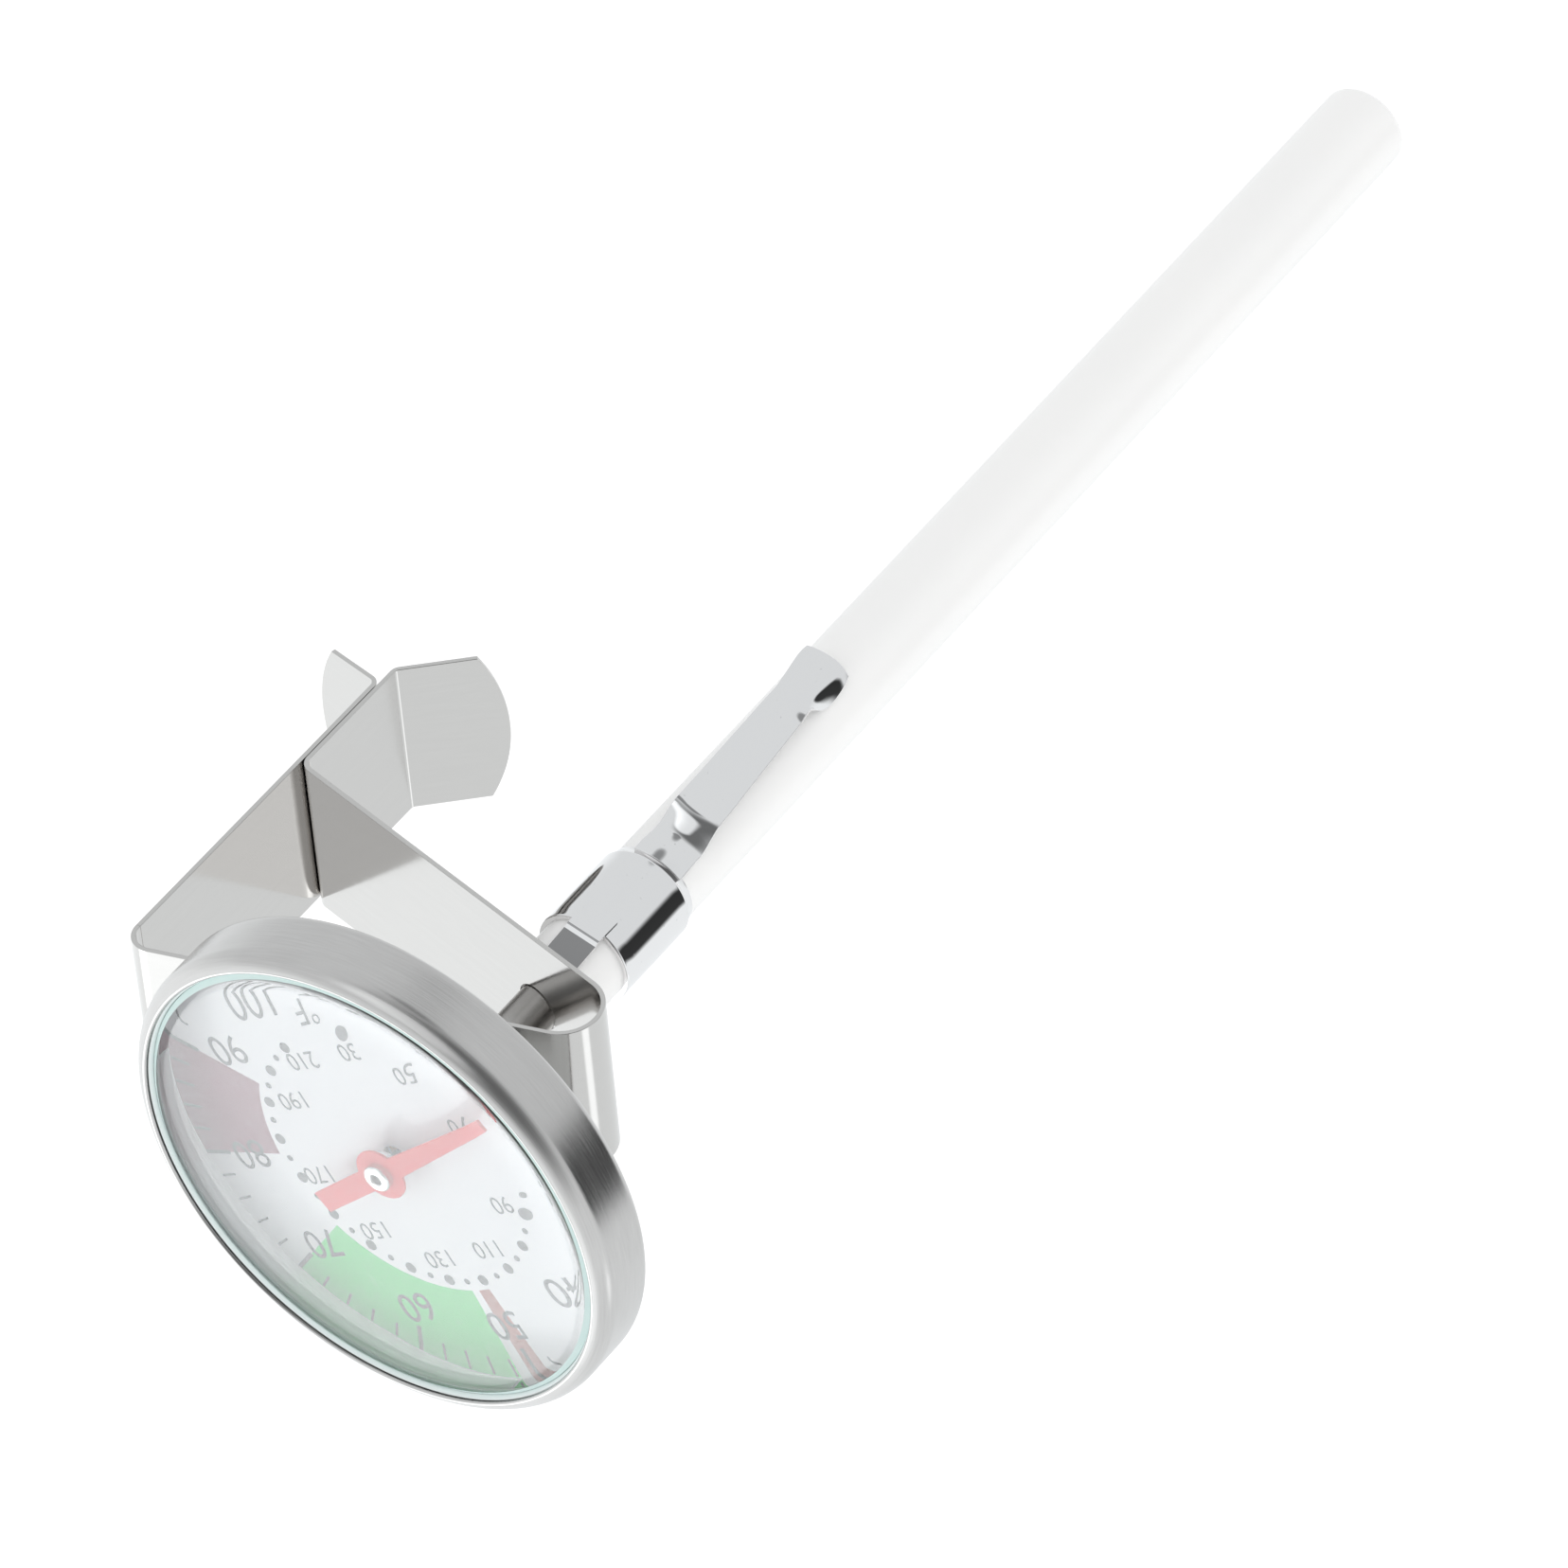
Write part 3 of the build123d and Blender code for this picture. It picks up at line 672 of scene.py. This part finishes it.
def punched_strip(path, width, holes=(), start_arc=0.0, end_arc=0.0):
    """A strip's flat pattern (s, y), bent so that s runs along the path and y lies across it: its points,
    quads and pattern. Rows lie at the path's stations. A patch of rings, from a square to the rim, lies
    round each hole (length, tilt), and an end bulges as an arc: s = radius - sqrt(radius^2 - y^2)."""
    columns, sides, rings, hole_r = 24, 8, 5, 2.05
    y = np.linspace(-width / 2, width / 2, columns + 1)
    reach = 0.45 * width
    edges_of_patches = [s + side * reach for s, _ in holes for side in (-1, 1)]
    rows = np.sort(np.concatenate([path[:, 0], edges_of_patches]))
    s_grid = np.broadcast_to(rows[:, None], (len(rows), columns + 1)).copy()
    if start_arc:
        s_grid[0] += start_arc - np.sqrt(start_arc ** 2 - y ** 2)
    if end_arc:
        s_grid[-1] -= end_arc - np.sqrt(end_arc ** 2 - y ** 2)
    flat = np.stack([s_grid, np.broadcast_to(y, s_grid.shape)], 2).reshape(-1, 2)
    faces = grid_faces(len(rows), columns + 1)
    punched = [int(np.argmin(abs(rows - (s - reach)))) for s, _ in holes]
    faces = faces[~np.isin(np.arange(len(faces)) // columns, punched)]
    for s, tilt in holes:
        near, far = s - reach, s + reach
        across = np.linspace(near, far, sides + 1)
        edge = np.concatenate([
            np.stack([np.full(columns, near), y[:-1]], 1),
            np.stack([across[:-1], np.full(sides, y[-1])], 1),
            np.stack([np.full(columns, far), y[:0:-1]], 1),
            np.stack([across[:0:-1], np.full(sides, y[0])], 1),
        ])
        turn_at = np.arctan2(edge[:, 1], edge[:, 0] - s)
        rim = np.stack([s + hole_r / np.cos(tilt) * np.cos(turn_at), hole_r * np.sin(turn_at)], 1)
        blend = np.linspace(0, 1, rings + 1)[:, None, None] ** 1.5
        patch = rim + (edge - rim) * blend
        faces = np.concatenate([faces, len(flat) + grid_faces(rings + 1, len(edge), wrap_columns=True)])
        flat = np.concatenate([flat, patch.reshape(-1, 2)])
    x, z = [np.interp(flat[:, 0], path[:, 0], path[:, k]) for k in (1, 2)]
    return np.stack([x, flat[:, 1], z], 1) * MM, faces, flat


def thickened(piece, thickness, edge):
    """Gives a sheet its thickness, half to each side, and breaks its edges with a small round."""
    solid = piece.modifiers.new("thickness", "SOLIDIFY")
    solid.thickness = thickness * MM
    solid.offset = 0.0
    bevel = piece.modifiers.new("bevel", "BEVEL")
    bevel.width = edge * MM
    bevel.segments = 2
    bevel.limit_method = "ANGLE"
    bevel.angle_limit = np.radians(50.0)
    bevel.harden_normals = True


def rolled_strip(name, colour, roughness):
    """Cold-rolled strip: noise on the strip's own (length, width) map, drawn out along its length."""
    material, place, shader = paint(name, colour, roughness, metallic=1.0)
    layout = Wire(place.tree, place.tree.nodes.new("ShaderNodeUVMap").outputs["UV"])
    layout.socket.node.uv_map = "strip"
    lines = noise(stretch(layout, 0.06, 7.0, 1.0), 1.0, 4.0, 0.65)
    faint = noise(stretch(layout, 0.25, 1.6, 1.0), 1.0, 2.0)
    cloud = noise(place, 90.0, 3.0)
    rubs = noise(stretch(layout, 1.1, 9.0, 1.0), 1.0, 2.0, 0.7).soft(0.66, 0.74)
    feed(shader, "Roughness", roughness + 0.10 * (lines - 0.5) + 0.10 * (cloud - 0.5) + 0.12 * rubs)
    tone = (0.5 * lines + 0.3 * faint + 0.2 * cloud).soft(0.3, 0.7)
    feed(shader, "Base Color", blended(tone, tuple(c * 0.97 for c in colour), colour))
    bumped(shader, 0.6 * lines + 0.4 * faint, 0.08, 0.00003)
    return material


clip_steel = rolled_strip("clip_steel", (0.645, 0.63, 0.615), 0.12)
strip_t, strip_w, strip_edge, tab_arc = 0.4, 15.25, 0.05, 15.3
upper_tilt, lower_tilt = np.radians(14.8), np.radians(14.0)
upper_z, lower_z = -2.03, -11.87
jaw_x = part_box("bezel_shell")[1][0] / MM + 5.0
inner_x = jaw_x - strip_t - 0.05
apex_x = (lower_z - upper_z) / (np.tan(upper_tilt) + np.tan(lower_tilt))
apex = np.array([apex_x, upper_z + np.tan(upper_tilt) * apex_x])
shoulder = np.array([jaw_x, upper_z + np.tan(upper_tilt) * jaw_x])
pinch = np.array([inner_x, lower_z - np.tan(lower_tilt) * inner_x])
inner_fold = pinch + (0, -12.7)
outer_fold = shoulder + (0, -34.7)
inner_lean, outer_lean = np.radians(48.2), np.radians(77.8)
inner_end = inner_fold + 8.7 * np.array([-np.sin(inner_lean), -np.cos(inner_lean)])
outer_end = outer_fold + 7.3 * np.array([np.sin(outer_lean), -np.cos(outer_lean)])
seam = shoulder + (0, -2.45)
fold_r, pinch_r, apex_r, shoulder_r = 0.8, 1.2, 3.2, 1.8
frame_corners = [inner_end, inner_fold, pinch, apex, shoulder, seam]
frame_path = bent_path(frame_corners, [fold_r, pinch_r, apex_r, shoulder_r])


def station(path, x, z):
    """The length along a path to the point on it that is nearest to (x, z)."""
    start, end = path[:-1], path[1:]
    step = end[:, 1:3] - start[:, 1:3]
    share = ((x - start[:, 1]) * step[:, 0] + (z - start[:, 2]) * step[:, 1]) / (step ** 2).sum(1)
    share = np.clip(share, 0, 1)
    miss = np.hypot(start[:, 1] + share * step[:, 0] - x, start[:, 2] + share * step[:, 1] - z)
    k = int(np.argmin(miss))
    return start[k, 0] + share[k] * (end[k, 0] - start[k, 0])


stem_holes = [(station(frame_path, 0, lower_z), lower_tilt), (station(frame_path, 0, upper_z), upper_tilt)]
points, faces, pattern = punched_strip(frame_path, strip_w, stem_holes, start_arc=tab_arc)
clip_piece = mesh_piece("jug_clip_strip", points, faces, None, clip_steel, uv=pattern)
thickened(clip_piece, strip_t, strip_edge)
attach(clip_piece, "jug_clip")
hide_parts("jug_clip_frame")

leg_path = bent_path([seam, outer_fold, outer_end], [fold_r])
extra = np.linspace(0, leg_path[1, 0], 9)[1:-1]
between = [np.interp(extra, leg_path[:, 0], leg_path[:, k]) for k in range(3)]
leg_path = np.concatenate([leg_path[:1], np.stack(between, 1), leg_path[1:]])
points, faces, pattern = punched_strip(leg_path, strip_w, end_arc=tab_arc)
leg_piece = mesh_piece("jug_clip_outer_leg", points, faces, None, clip_steel, uv=pattern + (40.0, 0.0))
thickened(leg_piece, strip_t, strip_edge)
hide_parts("jug_clip_leg")
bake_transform(leg_piece)

# ------------------------------------------------------------------ sheath
# Extruded white plastic tube with a closed, rounded end. It is pushed over the stem, up to the jug clip, and
# a tight collar at its mouth grips the stem.
plastic, place, shader = paint("sheath_plastic", (0.93, 0.93, 0.925), 0.36, coat=0.15)
drawn = noise(stretch(place, 900.0, 900.0, 25.0), 1.0, 3.0)
feed(shader, "Base Color", blended(noise(place, 40.0), (0.915, 0.918, 0.915), (0.945, 0.942, 0.935)))
feed(shader, "Roughness", 0.33 + 0.10 * (drawn - 0.5) + 0.06 * noise(place, 1500.0))
bumped(shader, drawn, 0.06, 0.00004)
sheath_low, sheath_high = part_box("sheath_tube")
sheath_r, low, high = sheath_high[0] / MM, sheath_low[2] / MM, sheath_high[2] / MM
bore, collar_r, end_wall, end_r = 2.35, 2.03, 1.4, 0.9
sheath_section = profile(
    (0, low), arc((sheath_r - end_r, low + end_r), end_r, -90, 0, 10),
    np.stack([np.full(12, sheath_r), np.linspace(low + end_r, high - 0.15, 12)], 1)[1:],
    arc((sheath_r - 0.15, high - 0.15), 0.15, 20, 90, 4), (collar_r + 0.3, high), (collar_r, high - 0.3),
    (collar_r, high - 3.0), (bore, high - 3.3), (bore, low + end_wall), (0, low + end_wall),
)
turned("sheath_tube_piece", sheath_section, "sheath", plastic, "sheath_tube", slot="sheath_white",
       steps=128, closed=False)

# ------------------------------------------------------------------ pocket clip
# Chrome-plated sheet: a band drawn around the sheath, a tab bent over the sheath's mouth to lock it, and a
# sprung blade that leaves the band in a saddle, rises to a ridge and runs flat to a flared, curled tip.
chrome, place, shader = paint("bright_chrome", (0.87, 0.86, 0.86), 0.05, metallic=1.0)
pits = noise(place, 2600.0, 2.0).soft(0.72, 0.78)
ripple = noise(place, 260.0, 2.0)
feed(shader, "Roughness", 0.045 + 0.12 * pits + 0.03 * noise(place, 500.0))
feed(shader, "Base Color", blended(pits, (0.87, 0.86, 0.86), (0.72, 0.71, 0.71)))
bumped(shader, ripple * 0.8 + pits * 0.2, 0.05, 0.00006)
band_low, band_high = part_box("pocket_clip_band")
band_r, low, high = band_high[0] / MM, band_low[2] / MM, band_high[2] / MM
shoulder_drop, lip = 1.15, 0.16
wall = np.linspace(high - 0.5, low + shoulder_drop, 12)
barrel = band_r - 0.03 + 0.03 * np.sin(np.pi * (wall - low) / (high - low))
band_section = profile(
    (sheath_r + 0.005, high), (band_r - lip, high),
    arc((band_r - lip + 0.02, high - lip), lip, 80, -10, 6),
    np.stack([barrel, wall], 1),
    arc((band_r - 0.38, low + shoulder_drop), 0.37, -8, -55, 6), (sheath_r + 0.12, low + 0.25),
    (sheath_r + 0.08, low), (sheath_r + 0.005, low),
)
turned("pocket_clip_band_piece", band_section, "sheath", chrome, "pocket_clip_band", slot="chrome",
       steps=160)


def eased(at, knots):
    """A smooth curve through knots (place, value), by cubic runs whose slopes come from their neighbours."""
    x, v = np.asarray(knots, float).T
    slope = np.gradient(v, x)
    k = np.clip(np.searchsorted(x, at) - 1, 0, len(x) - 2)
    h = x[k + 1] - x[k]
    t = np.clip((at - x[k]) / h, 0, 1)
    a = (1 + 2 * t) * (1 - t) ** 2 * v[k] + t * (1 - t) ** 2 * h * slope[k]
    return a + t * t * (3 - 2 * t) * v[k + 1] + t * t * (t - 1) * h * slope[k + 1]


def on_sheath(azimuth, height, sideways, z):
    """Places strip points: a height from the stem's axis along an azimuth, sideways across it, and a z."""
    out = np.array([np.cos(azimuth), np.sin(azimuth)])
    side = np.array([-out[1], out[0]])
    return np.stack([height * out[0] + sideways * side[0], height * out[1] + sideways * side[1], z], -1)


# Along the blade, s: how far it stands off the stem's axis, how much it bends round it, how deep one corner
# curls, half its width, and how far it leans to a side. Across it, v runs from -1 to 1.
blade_az, blade_t = np.radians(251.0), 0.34
s = np.linspace(0, 25.3, 100)[:, None]
v = np.linspace(-1, 1, 17)[None, :]
rise = eased(s, [
    (0, 4.04), (1.1, 4.12), (2.6, 4.13), (3.2, 4.22), (3.8, 4.66), (4.4, 5.20), (4.9, 5.44), (5.3, 5.40),
    (6.2, 5.35), (14, 5.28), (20.5, 5.22), (23.0, 5.16), (25.3, 5.10),
])
around = eased(s, [
    (0, 0.58), (2.2, 0.60), (3.2, 0.75), (4.0, 0.78), (4.6, 0.45), (5.0, 0.14), (5.5, 0.03), (6.5, 0.02),
    (18, 0.02), (20, 0.02), (22.5, 0.12), (25.3, 0.2),
])
curl = eased(s, [
    (0, 0), (18, 0), (19.8, 0), (20.5, 0.6), (21.4, 1.25), (23.0, 1.2), (24.4, 0.7), (25.3, 0.25),
])
half = eased(s, [
    (0, 2.2), (1.0, 2.2), (2.4, 2.12), (5.0, 2.10), (12, 1.93), (18, 1.80), (20.0, 1.75), (21.0, 1.92),
    (22.6, 2.12), (24.6, 2.16), (25.3, 2.06),
])
lean = eased(s, [(0, 0), (4, 0.02), (12, 0.36), (18, 0.64), (20.0, 0.74), (21.5, 0.70), (25.3, 0.92)])
height = rise - around * v ** 2 - curl * np.clip((-v - 0.4) / 0.6, 0, 1) ** 1.5
tip_edge = 0.25 * (v + 0.1) ** 2 * np.linspace(0, 1, len(s))[:, None] ** 8
root_z = low + 0.5
points = on_sheath(blade_az, height, lean + half * v, root_z - s + tip_edge)
faces = grid_faces(*points.shape[:2])
blade = mesh_piece("pocket_clip_blade_piece", points.reshape(-1, 3) * MM, faces, None, chrome)
thickened(blade, blade_t, 0.06)
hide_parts("pocket_clip_blade")
pivot = on_sheath(blade_az, 4.3, 0.0, low - 0.06) * MM
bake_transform(blade)

tab_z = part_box("band_lock_tab")[1][2] / MM
tab_az, tab_t, tab_half = np.radians(255.0), 0.3, 1.5
tab_path = bent_path(
    [(sheath_r + 0.15 - 1.25, tab_z - 0.15), (sheath_r + 0.15, tab_z - 0.15), (sheath_r + 0.50, high + 1.50),
     (band_r + 0.32, high + 1.15), (band_r + 0.18, high - 1.5)],
    [0.3, 0.15, 0.2], turn_step=8.0,
)
tab_out, tab_side = np.meshgrid(tab_path[:, 1], np.linspace(-tab_half, tab_half, 7), indexing="ij")
tab_rise = np.broadcast_to(tab_path[:, 2:3], tab_out.shape)
tab_points = on_sheath(tab_az, tab_out, tab_side, tab_rise)
faces = grid_faces(*tab_out.shape)
tab = mesh_piece("band_lock_tab_piece", tab_points.reshape(-1, 3) * MM, faces, None, chrome)
thickened(tab, tab_t, 0.05)
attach(tab, "sheath")
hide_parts("band_lock_tab")
